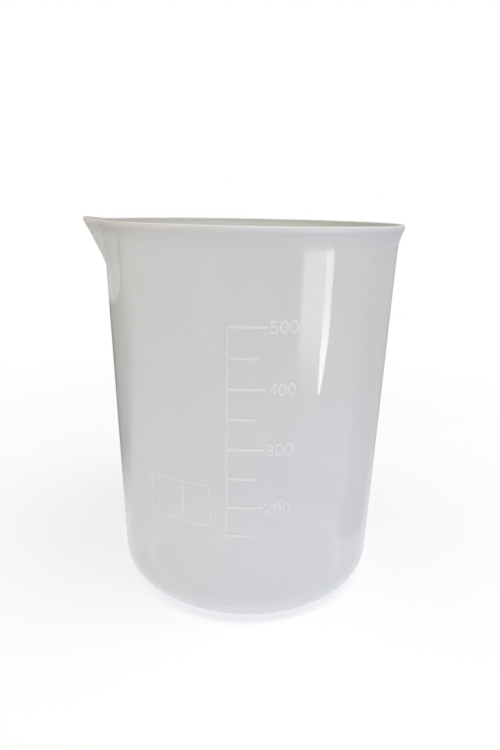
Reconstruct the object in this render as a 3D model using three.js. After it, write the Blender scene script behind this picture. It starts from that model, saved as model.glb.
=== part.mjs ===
// A 500 ml graduated beaker, injection moulded in translucent polypropylene.
// Millimetres, +Z up. The origin is on the beaker's axis, in the plane that it stands on.
// The pouring spout points along -X and the scale faces -Y.
import * as THREE from "three";

// Vessel
const HEIGHT = 116; // standing plane to the top of the rim
const BASE_DIAMETER = 85; // where the tapered wall, carried down, meets the standing plane
const MOUTH_DIAMETER = 92.2; // where the same wall, carried up, meets the rim's height
const RIM_DIAMETER = 95; // over the flared rim
const WALL = 1.6;
const FLOOR = 1.6;
const HEEL_RADIUS = 7; // outside corner between wall and base
const RECESS_DEPTH = 0.4; // the underside is lifted inside the standing ring
const STANDING_RING = 3; // width of the flat ring that it stands on
const FLARE_HEIGHT = 9.5; // the wall bends outwards over this height below the rim
const FLARE_POWER = 3; // 1 flares as a straight cone, more keeps the bend close to the rim
const RIM_LAND = 1.2; // upright edge of the rim
const RIM_ROUND = 0.5; // radius on both edges of the rim's top

// Pouring spout
const SPOUT_OVERHANG = 6.1; // from the rim's edge out to the tip
const SPOUT_DROP = 15.4; // the keel runs straight from the tip to the wall over this height
const SPOUT_LENGTH = 28.5; // from the rim down to the channel's round lower end
const SPOUT_WIDTH = 18.4; // between the two creases where the wall starts to swell
const SPOUT_CREASE = 1.3; // 1 folds sharply at the creases, more is softer
const SPOUT_BLEND = 0.4; // softness of the turn from wall to keel
const SPOUT_RISE = 0.7; // the tip stands this much above the rim
const GROOVE_DEPTH = 0.5; // inside, the channel is hollowed this much deeper between its creases
const GROOVE_EDGE = 2; // width of the slope from the creases to that depth

// Raised scale, in millilitres and millimetres
const CAPACITY = 500;
const FIRST_MARK = 150;
const MARK_STEP = 50;
const LONG_MARK_EVERY = 100;
const LONG_MARK = 9.6;
const SHORT_MARK = 7.3;
const MARK_WIDTH = 0.8; // at its foot
const SPINE_WIDTH = 0.8;
const SPINE_ANGLE = -7.3; // degrees to the right of -Y, seen from the front
const MARK_GAP = 0.15; // from the spine to the marks that start at it

// Raised frame of the writing panel, left of the scale
const PANEL_WIDTH = 21;
const PANEL_HEIGHT = 13.3;
const PANEL_CORNER = 2.6;
const PANEL_LINE = 0.8; // width of its line at the foot
const PANEL_CLEARANCE = 4.1; // from the spine to the frame's outer edge
const PANEL_LEVEL = 200; // its middle stands close to this mark, in millilitres
const PANEL_DROP = 0.3; // and this much below it
const PANEL_SPLIT = 8.9; // from the frame's right edge to the upright divider
const DIVIDER_GAP = 0.15; // from the divider's ends to the frame

// Relief in common
const RELIEF = 0.35; // height of every raised line
const DRAFT = 0.15; // each side of a raised line leans in by this much
const SEAT_GAP = 0.05; // between the wall and the foot of a raised line

// Fineness of the faces
const SEGMENTS = 96; // round the vessel
const GATHER = 0.6; // how strongly those segments crowd towards the spout
const HEEL_ROWS = 6;
const SPOUT_ROWS = 7;
const FLARE_ROWS = 5;
const ROUND_ROWS = 2;
const LINE_STEP = 2.6; // longest straight stretch of a line that follows the wall
const CORNER_STEPS = 5; // of a panel corner
const FILL_STEP = 0.02; // height step when the cavity's volume is added up

const rimRadius = RIM_DIAMETER / 2;
const taper = (MOUTH_DIAMETER - BASE_DIAMETER) / 2 / HEIGHT;
const lean = Math.atan(taper);
const flareFoot = HEIGHT - FLARE_HEIGHT;
const landFoot = HEIGHT - RIM_LAND;
const spoutFoot = HEIGHT - SPOUT_LENGTH;
const floorTop = RECESS_DEPTH + FLOOR;
const innerHeel = HEEL_RADIUS - WALL;

// Radius of the plain tapered wall, outside, at height z.
function wallRadius(z) {
  return BASE_DIAMETER / 2 + taper * z;
}

// Radius outside at height z above the heel: the wall, then a flare that steepens up to the rim's
// upright edge.
function outsideRadius(z) {
  const up = THREE.MathUtils.clamp((z - flareFoot) / (landFoot - flareFoot), 0, 1);
  const flare = rimRadius - wallRadius(landFoot);
  return wallRadius(Math.min(z, landFoot)) + flare * up ** FLARE_POWER;
}

// Centre of a heel arc that touches the level z = bottom and the wall set in by inset.
function heelCentre(bottom, radius, inset) {
  const z = bottom + radius;
  return new THREE.Vector2(wallRadius(z) - inset - radius / Math.cos(lean), z);
}

// Radius inside at height z: the heel's arc above the floor, then the outside less the wall.
function insideRadius(z) {
  const centre = heelCentre(floorTop, innerHeel, WALL);
  const below = centre.y - z;
  if (below > innerHeel * Math.sin(lean)) return centre.x + Math.sqrt(innerHeel ** 2 - below ** 2);
  return outsideRadius(z) - WALL;
}

// Height of the liquid's surface at a volume in millilitres, added up from the floor.
function levelOf(millilitres) {
  let z = floorTop;
  let filled = 0;
  while (filled < millilitres * 1000) {
    filled += Math.PI * insideRadius(z + FILL_STEP / 2) ** 2 * FILL_STEP;
    z += FILL_STEP;
  }
  return z;
}

// Heights from low to high in equal rows, without the last.
function rows(low, high, count) {
  return Array.from({ length: count }, (_, i) => low + ((high - low) * i) / count);
}

// Half section of the vessel: out along the underside, up the outside, over the rim and down the
// inside to the axis.
function vesselSection() {
  const heel = heelCentre(0, HEEL_RADIUS, 0);
  const inner = heelCentre(floorTop, innerHeel, WALL);
  const ringInside = heel.x - STANDING_RING;
  const straight = rows(spoutFoot, flareFoot, SPOUT_ROWS);
  const stations = [...straight, ...rows(flareFoot, landFoot, FLARE_ROWS), landFoot];
  const arc = (x, y, radius, from, to, count) =>
    new THREE.EllipseCurve(x, y, radius, radius, from, to, to < from).getPoints(count);
  const roundTop = HEIGHT - RIM_ROUND;
  return [
    new THREE.Vector2(0, RECESS_DEPTH),
    new THREE.Vector2(ringInside - RECESS_DEPTH, RECESS_DEPTH),
    new THREE.Vector2(ringInside, 0),
    ...arc(heel.x, heel.y, HEEL_RADIUS, -Math.PI / 2, -lean, HEEL_ROWS),
    ...stations.map((z) => new THREE.Vector2(outsideRadius(z), z)),
    ...arc(rimRadius - RIM_ROUND, roundTop, RIM_ROUND, 0, Math.PI / 2, ROUND_ROWS),
    ...arc(rimRadius - WALL + RIM_ROUND, roundTop, RIM_ROUND, Math.PI / 2, Math.PI, ROUND_ROWS),
    ...stations.reverse().map((z) => new THREE.Vector2(outsideRadius(z) - WALL, z)),
    ...arc(inner.x, inner.y, innerHeel, -lean, -Math.PI / 2, HEEL_ROWS),
    new THREE.Vector2(0, floorTop),
  ];
}

// How far the spout's keel stands out of the wall at height z: it rises softly out of the wall, runs
// straight and ends upright in the rim's edge.
function keelPull(z) {
  const tip = rimRadius + SPOUT_OVERHANG;
  const keelFoot = HEIGHT - SPOUT_DROP;
  const slope = (tip - wallRadius(keelFoot)) / (landFoot - keelFoot);
  const proud = tip - slope * (landFoot - Math.min(z, landFoot)) - outsideRadius(z);
  return SPOUT_BLEND * Math.log1p(Math.exp(proud / SPOUT_BLEND));
}

// Distance of a point on the wall to the spout's outline, a U of straight creases with a round lower
// end. It is 0 outside the U.
function insideCreases(across, z) {
  const halfWidth = SPOUT_WIDTH / 2;
  const below = Math.max(0, spoutFoot + halfWidth - z);
  return Math.max(0, halfWidth - Math.hypot(across, below));
}

// Share of the keel's pull beside it: 1 on the keel, 0 on the creases.
function spoutSwell(across, z) {
  const toKeel = 1 - insideCreases(across, z) / (SPOUT_WIDTH / 2);
  return (1 - toKeel ** 2) ** SPOUT_CREASE;
}

// How far the channel is hollowed on the inside of the wall.
function groove(across, z) {
  return GROOVE_DEPTH * THREE.MathUtils.smoothstep(insideCreases(across, z), 0, GROOVE_EDGE);
}

// The vessel is the section turned about the axis, with its wall drawn out into the spout.
function vesselGeometry() {
  const geometry = new THREE.LatheGeometry(vesselSection(), SEGMENTS).rotateX(Math.PI / 2);
  const spoutAngle = -Math.PI / 2;
  const place = geometry.getAttribute("position");
  const at = new THREE.Vector3();
  for (let i = 0; i < place.count; i++) {
    at.fromBufferAttribute(place, i);
    const radius = Math.hypot(at.x, at.y);
    const turned = Math.atan2(at.x, -at.y) - spoutAngle;
    const wrapped = Math.atan2(Math.sin(turned), Math.cos(turned));
    const angle = wrapped - GATHER * Math.sin(wrapped);
    const swell = spoutSwell(angle * radius, at.z);
    const pull = swell * keelPull(at.z);
    const rise = SPOUT_RISE * swell * (pull / SPOUT_OVERHANG) ** 2;
    const onInside = radius < outsideRadius(at.z) - WALL / 2;
    const out = radius + pull + (onInside ? groove(angle * radius, at.z) : 0);
    const facing = angle + spoutAngle;
    place.setXYZ(i, out * Math.sin(facing), -out * Math.cos(facing), at.z + rise);
  }
  return geometry;
}

// A point on the outside of the wall: arc millimetres to the right of the spine, at height z, standing
// out by out. Arc lengths are true at half height.
const scaleRadius = wallRadius(HEIGHT / 2);
function onWall(arc, z, out) {
  const angle = THREE.MathUtils.degToRad(SPINE_ANGLE) + arc / scaleRadius;
  const radius = wallRadius(z) + SEAT_GAP + out;
  return new THREE.Vector3(radius * Math.sin(angle), -radius * Math.cos(angle), z);
}

// A raised line: a flat box of the given width and height, with drafted sides, laid round the wall.
function raisedLine(width, height, arc, z) {
  const geometry = new THREE.BoxGeometry(width, height, RELIEF, Math.ceil(width / LINE_STEP), 1, 1);
  const place = geometry.getAttribute("position");
  for (let i = 0; i < place.count; i++) {
    const top = place.getZ(i) > 0;
    const along = place.getX(i) * (top ? 1 - (2 * DRAFT) / width : 1);
    const up = place.getY(i) * (top ? 1 - (2 * DRAFT) / height : 1);
    place.setXYZ(i, ...onWall(arc + along, z + up, top ? RELIEF : 0));
  }
  return geometry;
}

// Points of a rounded rectangle, anticlockwise, set in from the panel's outer edge, with its straights
// cut into short stretches. Every inset gives the same number of points.
function panelOutline(inset) {
  const x = PANEL_WIDTH / 2 - PANEL_CORNER;
  const y = PANEL_HEIGHT / 2 - PANEL_CORNER;
  const radius = PANEL_CORNER - inset;
  const across = Math.ceil((2 * x) / LINE_STEP);
  const corners = [
    [x, y, across],
    [-x, y, 1],
    [-x, -y, across],
    [x, -y, 1],
  ];
  return corners.flatMap(([cx, cy, stretches], i) => {
    const from = (i * Math.PI) / 2;
    const turn = new THREE.EllipseCurve(cx, cy, radius, radius, from, from + Math.PI / 2);
    const corner = turn.getPoints(CORNER_STEPS);
    const end = corner[corner.length - 1];
    const next = corners[(i + 1) % 4];
    const goal = new THREE.Vector2(next[0], next[1]).add(end).sub(new THREE.Vector2(cx, cy));
    const between = rows(0, 1, stretches).slice(1);
    return [...corner, ...between.map((share) => end.clone().lerp(goal, share))];
  });
}

// The panel's frame: four outlines, at the two feet and the two top edges of its line, joined into a
// closed ring.
function panelFrame(arc, z) {
  const edges = [
    [0, 0],
    [DRAFT, RELIEF],
    [PANEL_LINE - DRAFT, RELIEF],
    [PANEL_LINE, 0],
  ];
  const ringAt = ([inset, out]) => panelOutline(inset).map((p) => onWall(arc + p.x, z + p.y, out));
  const rings = edges.map(ringAt);
  const length = rings[0].length;
  const corner = (ring, i) => (ring % rings.length) * length + (i % length);
  const faces = [];
  for (let ring = 0; ring < rings.length; ring++)
    for (let i = 0; i < length; i++) {
      const [a, b] = [corner(ring, i), corner(ring, i + 1)];
      const [c, d] = [corner(ring + 1, i + 1), corner(ring + 1, i)];
      faces.push(a, b, c, a, c, d);
    }
  return new THREE.BufferGeometry().setFromPoints(rings.flat()).setIndex(faces);
}

const polypropylene = { color: 0xc9cbca, roughness: 0.32, metalness: 0, transparent: true, opacity: 0.7 };
const raisedGloss = { color: 0xdcdedd, roughness: 0.28, metalness: 0 };

function named(name, geometry, finish) {
  const mesh = new THREE.Mesh(geometry, new THREE.MeshStandardMaterial(finish));
  mesh.name = name;
  return mesh;
}

const beaker = new THREE.Group();
beaker.add(named("vessel", vesselGeometry(), polypropylene));

// Scale marks at equal volumes of the cavity, as far up as the wall is straight.
const marks = [];
for (let volume = FIRST_MARK; volume <= CAPACITY; volume += MARK_STEP) {
  const level = levelOf(volume);
  if (level + MARK_WIDTH < flareFoot) marks.push({ volume, level });
}
const markStart = SPINE_WIDTH / 2 + MARK_GAP;
for (const { volume, level } of marks) {
  const length = volume % LONG_MARK_EVERY ? SHORT_MARK : LONG_MARK;
  const line = raisedLine(length, MARK_WIDTH, markStart + length / 2, level);
  beaker.add(named(`mark_${volume}_ml`, line, raisedGloss));
}

// The spine joins the lowest mark to the highest.
const lowest = marks[0].level;
const highest = marks[marks.length - 1].level;
const spine = raisedLine(SPINE_WIDTH, highest - lowest + MARK_WIDTH, 0, (highest + lowest) / 2);
beaker.add(named("scale_spine", spine, raisedGloss));

const panelRight = -SPINE_WIDTH / 2 - PANEL_CLEARANCE;
const panelMiddle = levelOf(PANEL_LEVEL) - PANEL_DROP;
beaker.add(named("panel_frame", panelFrame(panelRight - PANEL_WIDTH / 2, panelMiddle), raisedGloss));
const dividerHeight = PANEL_HEIGHT - 2 * (PANEL_LINE + DIVIDER_GAP);
const divider = raisedLine(PANEL_LINE, dividerHeight, panelRight - PANEL_SPLIT, panelMiddle);
beaker.add(named("panel_divider", divider, raisedGloss));

export default beaker;
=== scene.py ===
"""A 500 ml graduated beaker of translucent polypropylene, standing on a pale table.

Metres, +Z up. The origin is on the beaker's axis, in the plane that it stands on; the spout points along -X
and the scale faces -Y, towards the camera.
"""
import math

import bmesh
import bpy
import numpy as np
from mathutils import Matrix, Vector


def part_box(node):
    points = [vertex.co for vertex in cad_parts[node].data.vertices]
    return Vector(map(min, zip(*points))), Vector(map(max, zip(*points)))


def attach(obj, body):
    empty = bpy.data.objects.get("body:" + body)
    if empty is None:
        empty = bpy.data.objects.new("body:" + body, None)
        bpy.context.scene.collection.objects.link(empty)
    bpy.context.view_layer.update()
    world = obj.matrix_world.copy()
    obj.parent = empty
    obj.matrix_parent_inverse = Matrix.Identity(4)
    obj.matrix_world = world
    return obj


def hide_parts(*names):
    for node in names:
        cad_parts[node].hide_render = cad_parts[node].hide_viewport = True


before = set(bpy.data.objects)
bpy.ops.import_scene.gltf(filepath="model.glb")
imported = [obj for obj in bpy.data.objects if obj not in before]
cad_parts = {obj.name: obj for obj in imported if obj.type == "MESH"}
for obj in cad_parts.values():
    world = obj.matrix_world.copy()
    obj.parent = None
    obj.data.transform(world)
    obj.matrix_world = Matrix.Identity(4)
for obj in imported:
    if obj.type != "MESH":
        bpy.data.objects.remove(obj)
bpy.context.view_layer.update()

# VESSEL
# One injection moulding in milky, unpigmented polypropylene: floor, rounded heel, tapered wall, flared rim
# and pouring spout. It is gated in the middle of the underside and stands on a flat ring. Sizes are in mm.
MM = 0.001
HEIGHT = 116.0
BASE_RADIUS = 42.5
MOUTH_RADIUS = 46.1
RIM_RADIUS = 47.5
WALL = 1.6
FLOOR = 1.6
HEEL_RADIUS = 7.0
RECESS_DEPTH = 0.4
RECESS_EDGE = (-0.9, -0.1)
STANDING_RING = 3.0
GATE_DIMPLE = 0.22
GATE_DIMPLE_EDGE = (2.6, 4.2)
GATE_NUB = 0.3
GATE_NUB_EDGE = (0.7, 1.2)
FLARE_FOOT = HEIGHT - 9.5
FLARE_POWER = 3
LAND_FOOT = HEIGHT - 1.2
LAND_BLEND = 0.2
RIM_ROUND = 0.5
SPOUT_OVERHANG = 6.1
SPOUT_KEEL_FOOT = HEIGHT - 15.4
SPOUT_KEEL_BLEND = 4.0
SPOUT_FOOT = HEIGHT - 28.5
SPOUT_HALF_WIDTH = 9.2
SPOUT_CREASE = 1.3
SPOUT_BLEND = 0.4
SPOUT_RISE = 0.7
GROOVE_DEPTH = 0.5
GROOVE_EDGE = 2.0
CREASE_WIDTH = 0.7
SPOUT_ANGLE = -math.pi / 2
VESSEL_COLUMNS = 320
COLUMN_GATHER = 0.6

TAPER = (MOUTH_RADIUS - BASE_RADIUS) / HEIGHT
LEAN = math.atan(TAPER)
FLOOR_TOP = RECESS_DEPTH + FLOOR
INNER_HEEL = HEEL_RADIUS - WALL


def wall_radius(z):
    """Outside radius of the plain wall: a straight taper from the base to the mouth."""
    return BASE_RADIUS + TAPER * z


def outside_radius(z):
    """The wall, plus a flare that grows with the cube of the height above its foot, upright at the land."""
    up = np.clip((z - FLARE_FOOT) / (LAND_FOOT - FLARE_FOOT), 0, 1)
    return wall_radius(np.minimum(z, LAND_FOOT)) + (RIM_RADIUS - wall_radius(LAND_FOOT)) * up**FLARE_POWER


def smooth_step(low, high, x):
    """0 below low, 1 above high, and 3t^2 - 2t^3 between them."""
    t = np.clip((x - low) / (high - low), 0, 1)
    return t * t * (3 - 2 * t)


def arc_points(centre_r, centre_z, radius, start, end, count):
    """Points of a circular arc in the half section, as an array of (radius, height)."""
    turn = np.linspace(start, end, count)
    return np.stack([centre_r + radius * np.cos(turn), centre_z + radius * np.sin(turn)], 1)


def vessel_section():
    """Half section as (radius, height): out under the base, up the outside, over the rim, down the inside.

    Under the middle is the gate's mark, a shallow dimple with a nub in it, both from smooth steps of the
    radius. The rows are close together where the section bends.
    """
    heel_z = HEEL_RADIUS
    heel_r = wall_radius(heel_z) - HEEL_RADIUS / math.cos(LEAN)
    inner_z = FLOOR_TOP + INNER_HEEL
    inner_r = wall_radius(inner_z) - WALL - INNER_HEEL / math.cos(LEAN)
    ring_inside = heel_r - STANDING_RING
    # Rows across the gate's nub, its dimple, the recess, the edge of the recess and the standing ring.
    under_r = np.concatenate([
        np.linspace(0, 1.5, 11), np.linspace(1.8, 4.4, 10), np.linspace(6, ring_inside - 1.2, 8),
        np.linspace(ring_inside - 1.0, ring_inside, 9), np.linspace(ring_inside + 0.6, heel_r, 4)[:-1]])
    recess_start, recess_end = ring_inside + np.array(RECESS_EDGE)
    under_z = RECESS_DEPTH * (1 - smooth_step(recess_start, recess_end, under_r))
    under_z += GATE_DIMPLE * (1 - smooth_step(*GATE_DIMPLE_EDGE, under_r))
    under_z -= GATE_NUB * (1 - smooth_step(*GATE_NUB_EDGE, under_r))
    # Rows of the plain wall, of the wall beside the spout and of the flare.
    wall_z = np.concatenate([
        np.linspace(heel_z + 2, SPOUT_FOOT - 1.5, 16), np.linspace(SPOUT_FOOT - 1, FLARE_FOOT, 44)[:-1],
        np.linspace(FLARE_FOOT, LAND_FOOT, 15)])
    outside = np.stack([outside_radius(wall_z), wall_z], 1)
    inside = outside[::-1] - [WALL, 0]
    round_z = HEIGHT - RIM_ROUND
    floor_r = np.linspace(inner_r, 0, 12)[1:]
    return np.concatenate([
        np.stack([under_r, under_z], 1),
        arc_points(heel_r, heel_z, HEEL_RADIUS, -math.pi / 2, -LEAN, 22),
        outside,
        arc_points(RIM_RADIUS - RIM_ROUND, round_z, RIM_ROUND, 0, math.pi / 2, 6),
        arc_points(RIM_RADIUS - WALL + RIM_ROUND, round_z, RIM_ROUND, math.pi / 2, math.pi, 6),
        inside,
        arc_points(inner_r, inner_z, INNER_HEEL, -LEAN, -math.pi / 2, 18),
        np.stack([floor_r, np.full_like(floor_r, FLOOR_TOP)], 1)])


def spout_pull(across, z):
    """How far the spout draws the wall out, the share of the keel's pull, and how far inside the creases.

    On the keel the pull is a soft maximum of 0 and a straight line up to the tip, which ends upright in
    the land. Beside it the share falls as (1 - d^2)^c to 0 on a U of straight creases with a round foot.
    """
    tip = RIM_RADIUS + SPOUT_OVERHANG
    slope = (tip - wall_radius(SPOUT_KEEL_FOOT)) / (LAND_FOOT - SPOUT_KEEL_FOOT)
    proud = tip - slope * (LAND_FOOT - np.minimum(z, LAND_FOOT)) - outside_radius(z)
    keel = SPOUT_BLEND * np.log1p(np.exp(proud / SPOUT_BLEND))
    below = np.maximum(0, SPOUT_FOOT + SPOUT_HALF_WIDTH - z)
    from_keel = np.hypot(across, below)
    share = (1 - np.minimum(1, from_keel / SPOUT_HALF_WIDTH) ** 2) ** SPOUT_CREASE
    return share * keel, share, SPOUT_HALF_WIDTH - from_keel


def vessel_surface(section, columns):
    """The section turned about the axis, with columns crowded to the spout by u - g sin u, and the spout.

    A groove deepens the spout's channel inside by a smooth step from its creases. Beside the points this
    gives, for each of them, the share of the creases, as a bell curve, of the tongue below the keel, of
    the keel's own part, of the rim's land, and of the inside.
    """
    u = np.linspace(-math.pi, math.pi, columns, endpoint=False)
    angle = (u - COLUMN_GATHER * np.sin(u))[None, :]
    radius, z = section[:, :1], section[:, 1:]
    pull, share, inside_creases = spout_pull(angle * radius, z)
    groove = smooth_step(0, GROOVE_EDGE, inside_creases)
    height = z + SPOUT_RISE * share * (pull / SPOUT_OVERHANG) ** 2
    facing = angle + SPOUT_ANGLE
    on_inside = np.arange(len(section))[:, None] > np.argmax(section[:, 1])
    out = radius + pull + GROOVE_DEPTH * groove * on_inside
    on_keel = smooth_step(SPOUT_KEEL_FOOT - SPOUT_KEEL_BLEND, SPOUT_KEEL_FOOT + SPOUT_KEEL_BLEND, z)
    on_land = smooth_step(LAND_FOOT - LAND_BLEND, LAND_FOOT + LAND_BLEND, z) * ~on_inside
    points = np.stack([out * np.sin(facing), -out * np.cos(facing), height], 2)
    return points, {
        "crease": np.exp(-(inside_creases / CREASE_WIDTH) ** 2),
        "tongue": groove * (1 - on_keel),
        "drawn": share * on_keel,
        "land": np.broadcast_to(on_land, groove.shape),
        "inside": np.broadcast_to(on_inside, groove.shape)}


def closed_mesh(name, grid, ring=False):
    """Makes an object from a grid of points in mm, whose columns close on themselves.

    The rows close on themselves too in a ring; otherwise the first and the last row are single points.
    The faces are turned to point outwards by the sign of the volume that they enclose.
    """
    if ring:
        points = grid.reshape(-1, 3)
        cells = np.arange(len(points)).reshape(grid.shape[:2])
        cells = np.concatenate([cells, cells[:1]])
        caps = np.zeros((0, 3), int)
    else:
        points = np.concatenate([grid[:1, 0], grid[1:-1].reshape(-1, 3), grid[-1:, 0]])
        cells = 1 + np.arange(len(points) - 2).reshape(grid.shape[0] - 2, grid.shape[1])
        start, end = np.zeros_like(cells[0]), np.full_like(cells[0], len(points) - 1)
        caps = np.concatenate([
            np.stack([start, np.roll(cells[0], -1), cells[0]], 1),
            np.stack([cells[-1], np.roll(cells[-1], -1), end], 1)])
    a, d = cells[:-1], cells[1:]
    quads = np.stack([a, np.roll(a, -1, 1), np.roll(d, -1, 1), d], 2).reshape(-1, 4)
    corners = points[np.concatenate([quads[:, :3], quads[:, [0, 2, 3]], caps])]
    volume = np.einsum("ij,ij->", corners[:, 0], np.cross(corners[:, 1], corners[:, 2]))
    if volume < 0:
        quads, caps = quads[:, ::-1], caps[:, ::-1]
    mesh = bpy.data.meshes.new(name)
    mesh.from_pydata((points * MM).tolist(), [], quads.tolist() + caps.tolist())
    mesh.shade_smooth()
    piece = bpy.data.objects.new(name, mesh)
    bpy.context.scene.collection.objects.link(piece)
    return piece


def point_value(piece, name, grid):
    """Keeps one number for each point of a closed mesh, in its grid's order, for its material to read."""
    values = np.concatenate([grid[:1, 0], grid[1:-1].ravel(), grid[-1:, 0]]).astype(np.float32)
    piece.data.attributes.new(name, "FLOAT", "POINT").data.foreach_set("value", values)


class Wire:
    """A socket of a node tree. Sums and products of wires add Math nodes; node() adds any other node."""

    def __init__(self, tree, socket=None):
        self.tree = tree
        self.socket = socket

    def node(self, kind, settings, inputs, output=0):
        """Adds a node, sets it up, and gives each named input its value or its link."""
        made = self.tree.nodes.new(kind)
        for key, value in settings.items():
            setattr(made, key, value)
        for key, value in inputs.items():
            if isinstance(value, Wire):
                self.tree.links.new(value.socket, made.inputs[key])
            else:
                made.inputs[key].default_value = value
        return Wire(self.tree, made.outputs[output] if made.outputs else None)

    def maths(self, operation, first, second):
        """A Math node on two values, each a number or a wire."""
        return self.node("ShaderNodeMath", {"operation": operation}, {0: first, 1: second})

    def step(self, low, high, top=1.0):
        """A smooth step of the value, from 0 at low to top at high."""
        ends = {"Value": self, "From Min": low, "From Max": high, "To Max": top}
        return self.node("ShaderNodeMapRange", {"interpolation_type": "SMOOTHSTEP"}, ends)

    def __add__(self, other):
        return self.maths("ADD", self, other)

    def __radd__(self, other):
        return self.maths("ADD", other, self)

    def __sub__(self, other):
        return self.maths("SUBTRACT", self, other)

    def __rsub__(self, other):
        return self.maths("SUBTRACT", other, self)

    def __mul__(self, other):
        return self.maths("MULTIPLY", self, other)

    def __rmul__(self, other):
        return self.maths("MULTIPLY", other, self)


# Heights in the material are in metres, each pair from where a change starts to where it is full.
DENSE_RIM = (0.1105, 0.1148)
DENSE_HEEL = (0.011, 0.003)
PAINTED_TABLE_LIGHT_HEIGHTS = (0.105, 0.01)
DULL_FLARE = (0.109, 0.1112)
HEEL_SHARE = 0.2
SLANT_POWER = 3.0
INSIDE_CLEARER = 0.7
TONGUE_CLEARER = 0.6
CREASE_DENSER = 2.0
DRAWN_DENSER = 0.6
FLARE_DULLER = 0.85
PAINTED_SHADE_UNDER_LAND_POWER = 3.0
PAINTED_TABLE_LIGHT_COLOUR = (0.83, 0.84, 0.875, 1)
PAINTED_SHADE_UNDER_LAND = (0.645, 0.645, 0.635, 1)
THICK_AND_LIT_LAND_COLOUR = (0.85, 0.835, 0.82, 1)
PAINTED_SHADE_INSIDE_COLOUR = (0.7, 0.69, 0.66, 1)
CLOUD_SCALE = 45.0
CLOUD_SHARE = 0.6
FLOW_SCALE = 420.0
FLOW_STRETCH = 0.03
SATIN_SCALE = 1900.0
SATIN_SHARE = 0.6
SATIN_DEPTH = 0.00004
SATIN_STRENGTH = 0.25
ROUGHNESS = 0.3
FLOW_ROUGHNESS = 0.12


def milky_plastic(name, pale, deep, veil, dense_veil, scatter):
    """Unpigmented polypropylene: a milky veil that lets some light straight through and scatters some on.

    Cloudiness is a coarse noise, flow lines are a noise drawn out along the height, and the satin is a
    fine bump. Towards the base the colour turns paler and bluer, which is painted light from the table
    below. The veil is denser where the moulding is thick, at the rim and at the heel, by smooth steps of
    the height, and where light goes through it at a slant, by a power of the facing. The outer face carries
    most of it. Along the spout's creases it is denser too, and it is clearer in the tongue below the keel.
    """
    material = bpy.data.materials.new(name)
    material.use_nodes = True
    material.node_tree.nodes.clear()
    start = Wire(material.node_tree)
    place = start.node("ShaderNodeTexCoord", {}, {}, "Object")
    level = start.node("ShaderNodeSeparateXYZ", {}, {"Vector": place}, "Z")
    at_rim = level.step(*DENSE_RIM)
    at_heel = level.step(*DENSE_HEEL, HEEL_SHARE)
    low = level.step(*PAINTED_TABLE_LIGHT_HEIGHTS)
    on_flare = level.step(*DULL_FLARE)
    painted_shade_under_land = start.maths("POWER", at_rim, PAINTED_SHADE_UNDER_LAND_POWER)
    facing = start.node("ShaderNodeLayerWeight", {}, {"Blend": 0.5}, "Facing")
    at_slant = start.maths("POWER", facing, SLANT_POWER)
    crease, tongue, drawn, land, inside = [
        start.node("ShaderNodeAttribute", {"attribute_name": share}, {}, "Fac")
        for share in ("crease", "tongue", "drawn", "land", "inside")]
    thin_veil = veil * (1 - INSIDE_CLEARER * inside)
    thin_veil = thin_veil * (1 + CREASE_DENSER * crease + DRAWN_DENSER * drawn)
    thin = (1 - at_rim) * (1 - at_heel) * (1 - at_slant * (1 - inside))
    density = (dense_veil - (dense_veil - thin_veil) * thin) * (1 - TONGUE_CLEARER * tongue)
    upright = start.node("ShaderNodeMapping", {}, {"Vector": place, "Scale": (1, 1, FLOW_STRETCH)})
    cloud = start.node("ShaderNodeTexNoise", {}, {"Vector": place, "Scale": CLOUD_SCALE, "Detail": 2.0})
    flow = start.node("ShaderNodeTexNoise", {}, {"Vector": upright, "Scale": FLOW_SCALE, "Detail": 3.0})
    satin = start.node("ShaderNodeTexNoise", {}, {"Vector": place, "Scale": SATIN_SCALE, "Detail": 2.0})

    def mixed(share, under, over, blend="MIX"):
        """One colour laid over another by a share: inputs 0, 6 and 7 of a colour Mix are share, A and B."""
        settings = {"data_type": "RGBA", "blend_type": blend}
        return start.node("ShaderNodeMix", settings, {0: share, 6: under, 7: over}, 2)

    tint = mixed(CLOUD_SHARE * cloud + (1 - CLOUD_SHARE) * flow, deep, pale)
    # Painted light: the colour turns paler and bluer towards the base, as if lit from the pale table below.
    tint = mixed(low, tint, PAINTED_TABLE_LIGHT_COLOUR, "LIGHTEN")
    # Painted shade: a darker band on the flare just under the rim's land, where the flare faces downwards.
    tint = mixed(painted_shade_under_land, tint, PAINTED_SHADE_UNDER_LAND)
    # The rim's land is lighter: partly the thick moulding's own paleness, partly painted light from above.
    tint = mixed(land, tint, THICK_AND_LIT_LAND_COLOUR)
    # Painted shade: darker and warmer inside the rim and along the spout's creases on the inside.
    tint = mixed(start.maths("MAXIMUM", at_rim, crease) * inside, tint, PAINTED_SHADE_INSIDE_COLOUR)
    relief = start.node("ShaderNodeBump", {}, {
        "Strength": SATIN_STRENGTH, "Distance": SATIN_DEPTH,
        "Height": SATIN_SHARE * satin + (1 - SATIN_SHARE) * flow})
    skin = start.node("ShaderNodeBsdfPrincipled", {}, {
        "Base Color": tint, "Roughness": ROUGHNESS + FLOW_ROUGHNESS * flow, "IOR": 1.49, "Alpha": density,
        "Specular IOR Level": 0.2, "Coat Weight": 1 - FLARE_DULLER * on_flare, "Coat IOR": 1.9,
        "Coat Roughness": 0.04, "Normal": relief})
    through = start.node("ShaderNodeBsdfTranslucent", {}, {"Color": pale})
    both = start.node("ShaderNodeMixShader", {}, {0: scatter, 1: skin, 2: through})
    start.node("ShaderNodeOutputMaterial", {}, {"Surface": both})
    return material


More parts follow.
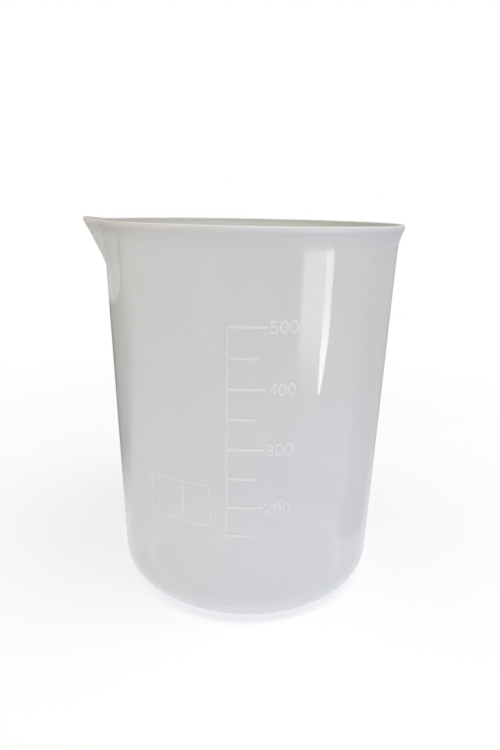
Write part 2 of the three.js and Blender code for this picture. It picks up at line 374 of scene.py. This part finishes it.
wall_plastic = milky_plastic(
    "milky_polypropylene", pale=(0.71, 0.71, 0.705, 1), deep=(0.67, 0.67, 0.664, 1),
    veil=0.43, dense_veil=0.85, scatter=0.15)
vessel_points, vessel_shares = vessel_surface(vessel_section(), VESSEL_COLUMNS)
vessel = closed_mesh("beaker_vessel", vessel_points)
for share_name, share_grid in vessel_shares.items():
    point_value(vessel, share_name, share_grid)
vessel.data.materials.append(wall_plastic)
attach(vessel, "root")
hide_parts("vessel")

# SCALE LINES
# Fine ridges of the wall's own plastic, cut into the mould's cavity, so that they stand out of the wall: a
# spine and, to its right, long marks at every hundred millilitres and short ones between them. Their ends
# run out softly. They are coloured much paler than the wall, as painted light that the ridges catch from
# above, and the upright spine gets a fainter copy, as painted shade.
SPINE_ANGLE = math.radians(-7.3)
LINE_WIDTH = 0.8
LINE_HEIGHT = 0.35
LINE_SINK = 0.06
LONG_MARK = 9.6
SHORT_MARK = 7.3
MARK_START = 0.55
MARK_VOLUMES = range(150, 501, 50)


def on_wall(across, z, out):
    """Points on the wall, by arc length to the right of the spine, true at half height, standing out."""
    angle = SPINE_ANGLE + across / wall_radius(HEIGHT / 2)
    radius = wall_radius(z) + out
    return np.stack(np.broadcast_arrays(radius * np.sin(angle), -radius * np.cos(angle), z), -1)


def ridge_section():
    """Section of a ridge as (side, height): a crown of half a sine wave, and a foot sunk in the wall."""
    side = LINE_WIDTH / 2 * np.linspace(1, -1, 13)
    crown = np.stack([side, LINE_HEIGHT * np.cos(math.pi * side / LINE_WIDTH)], 1)
    foot = np.stack([np.linspace(-0.5, 0.5, 4) * LINE_WIDTH, np.full(4, -LINE_SINK)], 1)
    return np.concatenate([crown, foot])


def ridge(name, start, end):
    """The ridge section carried along a straight line on the wall.

    At each end it thins to a point, as a half circle does.
    """
    start, end = np.array(start), np.array(end)
    length = np.linalg.norm(end - start)
    along = (end - start) / length
    beside = np.array([along[1], -along[0]])
    turn = np.linspace(0, math.pi / 2, 7)
    cap = LINE_WIDTH / 2 * (1 - np.cos(turn))
    middle = np.linspace(LINE_WIDTH / 2, length - LINE_WIDTH / 2, max(3, int(length)))[1:-1]
    place = np.concatenate([cap, middle, length - cap[::-1]])[:, None]
    swell = np.concatenate([np.sin(turn), np.ones(len(middle)), np.sin(turn)[::-1]])[:, None]
    side, height = ridge_section().T
    across = start[0] + along[0] * place + beside[0] * side * swell
    z = start[1] + along[1] * place + beside[1] * side * swell
    return closed_mesh(name, on_wall(across, z, (height + LINE_SINK) * swell - LINE_SINK))


# Painted light: the lines and figures are much paler than the wall, as ridges lit from above. The spine and
# panel get a thinner veil, a fainter copy that stands for painted shade.
PAINTED_LIT_LINE_COLOURS = {"pale": (0.98, 0.98, 0.975, 1), "deep": (0.95, 0.95, 0.945, 1)}
painted_lit_mark_plastic = milky_plastic(
    "milky_polypropylene_marks", **PAINTED_LIT_LINE_COLOURS, veil=0.25, dense_veil=0.25, scatter=0.25)
painted_dim_line_plastic = milky_plastic(
    "milky_polypropylene_faint_lines", **PAINTED_LIT_LINE_COLOURS, veil=0.2, dense_veil=0.2, scatter=0.25)
mark_boxes = {volume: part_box(f"mark_{volume}_ml") for volume in MARK_VOLUMES}
mark_levels = {volume: (low.z + high.z) / 2 / MM for volume, (low, high) in mark_boxes.items()}
spine_foot = (0, mark_levels[150] - LINE_WIDTH / 2)
spine_top = (0, mark_levels[500] + LINE_WIDTH / 2)
scale_lines = {"scale_spine": (spine_foot, spine_top)}
for volume, level in mark_levels.items():
    reach = SHORT_MARK if volume % 100 else LONG_MARK
    scale_lines[f"mark_{volume}_ml"] = ((MARK_START - LINE_WIDTH / 2, level), (MARK_START + reach, level))
for node, (start, end) in scale_lines.items():
    line = ridge(f"raised_{node}", start, end)
    line.data.materials.append(painted_dim_line_plastic if node == "scale_spine" else painted_lit_mark_plastic)
    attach(line, "root")
    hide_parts(node)

# FIGURES
# Raised numbers of the scale beside the long marks, in the wall's own polypropylene, coloured as pale as
# the marks: painted light. They are engraved in the mould like the lines, and stand just as high.
FIGURE_VOLUMES = (200, 300, 400, 500)
FIGURE_HEIGHT = 3.5
FIGURE_LENGTH = 7.6
FIGURE_GAP = 0.4
STROKE_OFFSET = -0.012
STROKE_ROUND = 0.03
STROKE_WELD = 1e-5


def raised_figure(text, across, level):
    """Letters with round edges, scaled to the figure's height and length and laid round the wall.

    Only their upper half stands out of the wall, and the lower half is pressed flat into the foot. The
    strokes' offset, rounding and weld are shares of the type's size.
    """
    letters = bpy.data.curves.new(text, "FONT")
    letters.body = text
    letters.offset = STROKE_OFFSET
    letters.bevel_depth = STROKE_ROUND
    letters.bevel_resolution = 3
    letters.resolution_u = 6
    flat = bpy.data.objects.new(text, letters)
    bpy.context.scene.collection.objects.link(flat)
    mesh = bpy.data.meshes.new_from_object(flat.evaluated_get(bpy.context.evaluated_depsgraph_get()))
    bpy.data.objects.remove(flat)
    bpy.data.curves.remove(letters)
    shape = bmesh.new()
    shape.from_mesh(mesh)
    bmesh.ops.remove_doubles(shape, verts=shape.verts, dist=STROKE_WELD)
    bmesh.ops.recalc_face_normals(shape, faces=shape.faces)
    shape.to_mesh(mesh)
    shape.free()
    points = np.zeros(len(mesh.vertices) * 3, np.float32)
    mesh.vertices.foreach_get("co", points)
    points = points.reshape(-1, 3).astype(float)
    low, high = points.min(0), points.max(0)
    share = (points - low) / (high - low)
    wrapped = on_wall(
        across + FIGURE_LENGTH * share[:, 0],
        level + FIGURE_HEIGHT * (share[:, 1] - 0.5),
        np.maximum(LINE_HEIGHT * (2 * share[:, 2] - 1), -LINE_SINK))
    mesh.vertices.foreach_set("co", (wrapped * MM).astype(np.float32).ravel())
    mesh.update()
    piece = bpy.data.objects.new(f"figure_{text}", mesh)
    bpy.context.scene.collection.objects.link(piece)
    return piece


for volume in FIGURE_VOLUMES:
    figure = raised_figure(str(volume), MARK_START + LONG_MARK + FIGURE_GAP, mark_levels[volume])
    figure.data.materials.append(painted_lit_mark_plastic)
    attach(figure, "root")

# PANEL
# A raised frame with rounded corners and one upright divider, left bare inside, of the wall's own plastic.
# It is engraved in the mould beside the scale and has the same ridge as the scale's lines. It is painted
# paler than the wall, like the spine, and fainter than the marks: painted light and painted shade.
PANEL_WIDTH = 21.0
PANEL_HEIGHT = 13.3
PANEL_CORNER = 2.6
PANEL_RIGHT = -4.5
PANEL_DROP = 0.3
PANEL_SPLIT = 8.9
PANEL_SIDE_STEPS = 16


def rounded_frame(width, height, corner, steps):
    """Middle line of a rounded rectangle, anticlockwise from its right side, with the outward directions.

    Each corner is a quarter circle, and each straight side is cut into short steps.
    """
    half = np.array([width / 2 - corner, height / 2 - corner])
    centres = half * np.array([[1, 1], [-1, 1], [-1, -1], [1, -1]])
    turn = np.linspace(0, math.pi / 2, 9)[None, :] + (np.arange(4) * math.pi / 2)[:, None]
    outward = np.stack([np.cos(turn), np.sin(turn)], 2)
    bend = centres[:, None] + corner * outward
    gap = np.roll(bend[:, 0], -1, 0) - bend[:, -1]
    straight = bend[:, -1:] + np.linspace(0, 1, steps + 2)[1:-1][None, :, None] * gap[:, None]
    facing = np.repeat(outward[:, -1:], steps, 1)
    return (np.concatenate([bend, straight], 1).reshape(-1, 2),
            np.concatenate([outward, facing], 1).reshape(-1, 2))


panel_level = mark_levels[200] - PANEL_DROP
panel_middle = PANEL_RIGHT - PANEL_WIDTH / 2
line, outward = rounded_frame(
    PANEL_WIDTH - LINE_WIDTH, PANEL_HEIGHT - LINE_WIDTH, PANEL_CORNER - LINE_WIDTH / 2, PANEL_SIDE_STEPS)
side, height = ridge_section().T
panel_frame = closed_mesh("raised_panel_frame", on_wall(
    panel_middle + line[:, :1] + outward[:, :1] * side,
    panel_level + line[:, 1:] + outward[:, 1:] * side,
    np.broadcast_to(height, (len(line), len(height)))), ring=True)
panel_divider = ridge(
    "raised_panel_divider",
    (PANEL_RIGHT - PANEL_SPLIT, panel_level - PANEL_HEIGHT / 2 + LINE_WIDTH),
    (PANEL_RIGHT - PANEL_SPLIT, panel_level + PANEL_HEIGHT / 2 - LINE_WIDTH))
for piece, node in ((panel_frame, "panel_frame"), (panel_divider, "panel_divider")):
    piece.data.materials.append(painted_dim_line_plastic)
    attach(piece, "root")
    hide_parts(node)

# TABLE
# A pale, matt table top that the beaker stands on. Near the beaker it is lit, so that it keeps the soft
# shadow, and further off it is plain white to the camera, to gloss and to what shows through the wall.
TABLE_SIZE = 8
TABLE_COLOUR = (0.5, 0.5, 0.5, 1)
GLOW_COLOUR = (0.935, 0.955, 1, 1)
SEEN_GLOW = 0.59
BOUNCE = 0.55
WHITE = (1, 1, 1, 1)
WHITE_FROM = (0.06, 0.3)


def seen(start):
    """1 for rays that show the background: from the camera, a reflection or a see-through surface."""
    path = [start.node("ShaderNodeLightPath", {}, {}, kind)
            for kind in ("Is Camera Ray", "Is Glossy Ray", "Is Transmission Ray")]
    return start.maths("MINIMUM", path[0] + path[1] + path[2], 1.0)


bpy.ops.mesh.primitive_plane_add(size=TABLE_SIZE)
table = bpy.context.object
table.name = "table"
table_finish = bpy.data.materials.new("pale_table")
table_finish.use_nodes = True
table_finish.node_tree.nodes.clear()
start = Wire(table_finish.node_tree)
table_seen = seen(start)
chalk = start.node("ShaderNodeBsdfDiffuse", {}, {"Color": TABLE_COLOUR})
glow = start.node("ShaderNodeEmission", {}, {
    "Color": GLOW_COLOUR, "Strength": BOUNCE + (SEEN_GLOW - BOUNCE) * table_seen})
near = start.node("ShaderNodeAddShader", {}, {0: chalk, 1: glow})
far = start.node("ShaderNodeEmission", {}, {"Color": WHITE, "Strength": 1.0})
spot = start.node("ShaderNodeTexCoord", {}, {}, "Object")
away = start.node("ShaderNodeVectorMath", {"operation": "LENGTH"}, {0: spot}, "Value").step(*WHITE_FROM)
both = start.node("ShaderNodeMixShader", {}, {0: table_seen * away, 1: near, 2: far})
start.node("ShaderNodeOutputMaterial", {}, {"Surface": both})
table.data.materials.append(table_finish)

# DAYLIGHT
# A weak even sky, white to the camera, and four soft lamps that gloss doesn't show: two overhead and two
# low in front. The left one in front is warm and the right one is cool, as in the photograph.
HORIZON = 0.1
ZENITH = 0.1
OVERHEAD = {"aim": (0, 0, 0), "width": 0.5, "height": 0.6}
IN_FRONT = {"aim": (0, 0, 0.06), "width": 0.6, "height": 0.18}
scene = bpy.context.scene
scene.view_settings.view_transform = "Standard"
world = bpy.data.worlds.new("daylight")
scene.world = world
world.use_nodes = True
world.node_tree.nodes.clear()
start = Wire(world.node_tree)
# The renderer samples a sky as a lamp only if it may vary, so its strength is given over the height.
toward = start.node("ShaderNodeTexCoord", {}, {}, "Generated")
upward = start.node("ShaderNodeSeparateXYZ", {}, {"Vector": toward}, "Z")
dome = start.node("ShaderNodeMapRange", {}, {"Value": upward, "To Min": HORIZON, "To Max": ZENITH})
shown = seen(start)
sky = start.node("ShaderNodeBackground", {}, {"Color": WHITE, "Strength": shown + dome * (1 - shown)})
start.node("ShaderNodeOutputWorld", {}, {"Surface": sky})


def soft_light(name, place, aim, width, height, power, colour):
    """A rectangular lamp at a place, turned to face a point, whose image gloss doesn't show."""
    lamp = bpy.data.lights.new(name, "AREA")
    lamp.shape = "RECTANGLE"
    lamp.size = width
    lamp.size_y = height
    lamp.energy = power
    lamp.color = colour
    holder = bpy.data.objects.new(name, lamp)
    holder.location = place
    holder.rotation_euler = (Vector(aim) - Vector(place)).to_track_quat("-Z", "Y").to_euler()
    holder.visible_glossy = False
    scene.collection.objects.link(holder)


soft_light("left_overhead", (-0.3, -0.1, 0.9), **OVERHEAD, power=2.8, colour=(0.97, 0.98, 0.82))
soft_light("right_overhead", (0.3, -0.1, 0.9), **OVERHEAD, power=5.0, colour=(1.0, 0.91, 0.83))
soft_light("left_front", (-0.4, -1.0, 0.1), **IN_FRONT, power=2.0, colour=(1.0, 0.78, 0.5))
soft_light("right_front", (0.5, -0.95, 0.1), **IN_FRONT, power=3.6, colour=(0.5, 0.68, 1.0))

# SURROUND
# A half bowl of dull card that stands on the table behind and beside the beaker. Only gloss sees it, so
# that the wall's edges leave the white background.
CARD_FOOT = 0.001
CARD_INNER = 0.05
CARD_OUTER = 0.3
CARD_HEIGHT = 0.35
CARD_OVERLAP = 0.2
CARD_GREY = 0.5
CARD_END = (0.14, -0.06)
SHADE_GREY = 0.04
SHADE_SIDE = (0.02, -0.04)
SHADE_LEVEL = (0.05, 0.035)
SHADE_AWAY = (0.05, 0.125)
SHADE_BEHIND = (0.08, 0.35)


def gloss_card(name, points, faces, hidden=("camera", "diffuse", "shadow", "transmission")):
    """A stage object that gloss sees and the named kinds of ray don't: its mesh, and its empty material."""
    mesh = bpy.data.meshes.new(name)
    mesh.from_pydata(points, [], faces)
    card = bpy.data.objects.new(name, mesh)
    for kind in hidden:
        setattr(card, f"visible_{kind}", False)
    scene.collection.objects.link(card)
    paint = bpy.data.materials.new(name)
    paint.use_nodes = True
    paint.node_tree.nodes.clear()
    mesh.materials.append(paint)
    return mesh, Wire(paint.node_tree)


def surround_grid():
    """A profile, flat over the table and then upright, turned through a little more than half a circle."""
    reach = np.array([CARD_INNER, CARD_OUTER, CARD_OUTER])
    level = np.array([CARD_FOOT, CARD_FOOT, CARD_HEIGHT])
    turn = np.linspace(-CARD_OVERLAP, math.pi + CARD_OVERLAP, 33)[:, None]
    points = np.stack(np.broadcast_arrays(reach * np.cos(turn), reach * np.sin(turn), level), -1)
    cell = np.arange(points.size // 3).reshape(points.shape[:2])
    faces = np.stack([cell[:-1, :-1], cell[:-1, 1:], cell[1:, 1:], cell[1:, :-1]], -1).reshape(-1, 4)
    return points.reshape(-1, 3).tolist(), faces.tolist()


# The card's ends fade to white, and behind on the left its lower part is dark, like the wall's edge there.
_, start = gloss_card("surround", *surround_grid())
place = start.node("ShaderNodeTexCoord", {}, {}, "Object")
side, depth, level = [start.node("ShaderNodeSeparateXYZ", {}, {"Vector": place}, axis) for axis in "XYZ"]
away = start.node("ShaderNodeVectorMath", {"operation": "LENGTH"}, {0: place}, "Value")
behind = start.maths("DIVIDE", depth, -1 * side)
dark = side.step(*SHADE_SIDE) * level.step(*SHADE_LEVEL)
dark = dark * away.step(*SHADE_AWAY) * behind.step(*SHADE_BEHIND)
dull = CARD_GREY + (1 - CARD_GREY) * depth.step(*CARD_END)
paint = start.node("ShaderNodeEmission", {}, {"Color": dull - (dull - SHADE_GREY) * dark, "Strength": 1.0})
start.node("ShaderNodeOutputMaterial", {}, {"Surface": paint})

# WINDOW
# A glowing upright panel, right of the camera, whose reflection is the streak beside the scale: a bright
# jamb that narrows towards the table, and a dimmer pane beside it that fades downwards. Shares run across
# the panel and up it.
WINDOW_TURN = math.radians(50)
WINDOW_AWAY = 0.215
WINDOW_SPAN = (-0.066, 0.024)
WINDOW_RISE = (0.001, 0.091)
WINDOW_COLOUR = (0.95, 0.98, 1.0)
JAMB_GLOW = 5.5
JAMB_FOOT_GLOW = 3.0
JAMB_FOOT = (0.7, 0.2)
JAMB_LEFT = 0.755
JAMB_BLEND = 0.01
JAMB_FOOT_RIGHT = 0.76
JAMB_SPREAD = 0.38
JAMB_SPREAD_TOP = 0.4
PANE_GLOW = 3.0
PANE_RISE = (-0.1, 0.6)
PANE_LEFT = (0.0, 0.12)

along, rise = np.meshgrid(WINDOW_SPAN, WINDOW_RISE)
window_points = np.stack([
    WINDOW_AWAY * math.sin(WINDOW_TURN) + along * math.cos(WINDOW_TURN),
    -WINDOW_AWAY * math.cos(WINDOW_TURN) + along * math.sin(WINDOW_TURN), rise], -1).reshape(-1, 3)
window_mesh, start = gloss_card("window", window_points.tolist(), [(0, 2, 3, 1)], ("camera", "diffuse"))
window_corners = np.array([[0, 0], [0, 1], [1, 1], [1, 0]], np.float32)
window_mesh.uv_layers.new(name="UVMap").data.foreach_set("uv", window_corners.ravel())
place = start.node("ShaderNodeTexCoord", {}, {}, "UV")
across, up = [start.node("ShaderNodeSeparateXYZ", {}, {"Vector": place}, axis) for axis in "XY"]
spread = start.maths("POWER", start.maths("MINIMUM", up, JAMB_SPREAD_TOP), 0.5)
jamb_right = JAMB_FOOT_RIGHT + JAMB_SPREAD * spread
jamb = across.step(JAMB_LEFT - JAMB_BLEND, JAMB_LEFT + JAMB_BLEND)
jamb = jamb * start.maths("LESS_THAN", across, jamb_right)
pane = up.step(*PANE_RISE) * across.step(*PANE_LEFT) * start.maths("LESS_THAN", across, JAMB_LEFT)
strength = (JAMB_GLOW + JAMB_FOOT_GLOW * up.step(*JAMB_FOOT)) * jamb + PANE_GLOW * pane
light = start.node("ShaderNodeVectorMath", {"operation": "SCALE"}, {0: WINDOW_COLOUR, "Scale": strength})
shine = start.node("ShaderNodeEmission", {}, {"Color": light, "Strength": 1.0})
clear = start.node("ShaderNodeBsdfTransparent", {}, {})
both = start.node("ShaderNodeAddShader", {}, {0: shine, 1: clear})
start.node("ShaderNodeOutputMaterial", {}, {"Surface": both})

# SHUTTERS
# Two upright pale cards on the table between the beaker and the window, which only gloss sees. They hide
# the window from the wall's far left and far right, where its reflection would eat into the outline.
SHUTTER_HEIGHT = 0.13
SHUTTERS = {"left_shutter": (0.02, -0.085, -0.055, 0.85), "right_shutter": (0.06, -0.03, 0.005, 0.55)}

for name, (x, near_end, far_end, tone) in SHUTTERS.items():
    foot = [(x, near_end, CARD_FOOT), (x, far_end, CARD_FOOT)]
    top = [(x, far_end, SHUTTER_HEIGHT), (x, near_end, SHUTTER_HEIGHT)]
    _, start = gloss_card(name, foot + top, [(0, 1, 2, 3)])
    paint = start.node("ShaderNodeEmission", {}, {"Color": WHITE, "Strength": tone})
    start.node("ShaderNodeOutputMaterial", {}, {"Surface": paint})

# CAMERA
# A camera at the place fitted to the photograph's outline: a little above the rim and looking down, with a
# slight roll, and with its optical centre off the middle of the frame. Pixels are the photograph's.
FRAME_WIDTH = 500
FRAME_HEIGHT = 750
FOCAL_PIXELS = 556.2
CENTRE_COLUMN = 249.3
CENTRE_ROW = 350.4
SENSOR = 36
EYE = (0, -0.18249, 0.12019)
LOOK_DOWN = math.radians(14.401)
ROLL = math.radians(1.062)
view = bpy.data.cameras.new("camera")
view.sensor_width = SENSOR
view.lens = FOCAL_PIXELS * SENSOR / FRAME_HEIGHT
view.shift_x = (FRAME_WIDTH / 2 - CENTRE_COLUMN) / FRAME_HEIGHT
view.shift_y = (CENTRE_ROW - FRAME_HEIGHT / 2) / FRAME_HEIGHT
view.clip_start = 0.01
camera = bpy.data.objects.new("camera", view)
camera.matrix_world = (
    Matrix.Translation(EYE)
    @ Matrix.Rotation(math.pi / 2 - LOOK_DOWN, 4, "X")
    @ Matrix.Rotation(ROLL, 4, "Z"))
scene.collection.objects.link(camera)
scene.camera = camera
